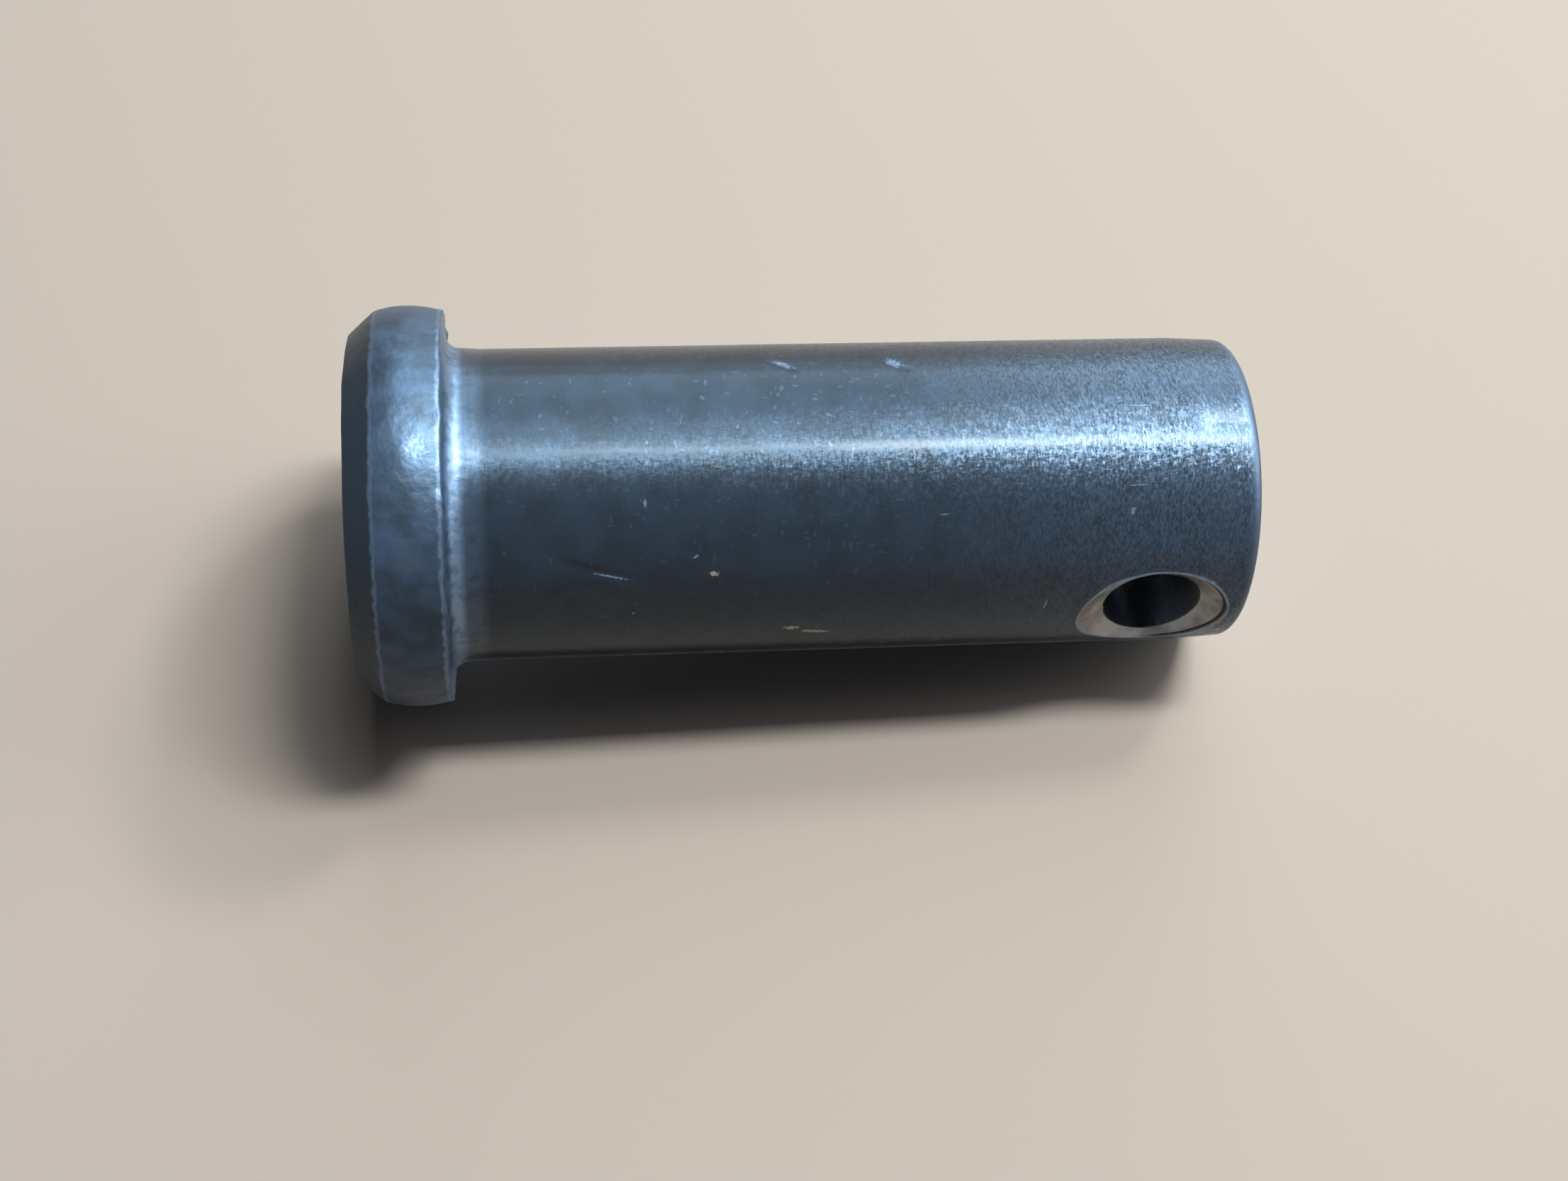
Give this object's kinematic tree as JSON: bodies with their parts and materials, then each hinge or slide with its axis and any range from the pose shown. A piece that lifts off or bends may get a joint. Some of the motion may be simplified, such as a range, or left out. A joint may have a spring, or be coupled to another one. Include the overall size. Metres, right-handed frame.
{
  "type": "clevis pin",
  "caption": "Plain steel clevis pin: round shank with a flat crowned head at one end and a countersunk cross hole for a cotter near the other.",
  "frame": {"origin": "centre of the head's end face, which the pin stands on", "axes": "+Z along the pin's axis from the head to the point, +X along the cross hole"},
  "size_m": [0.016, 0.016, 0.0357],
  "materials": {
    "steel": "plain tumbled steel, dark grey, satin"
  },
  "bodies": {
    "root": {"clevis_pin": "steel"}
  },
  "joints": []
}
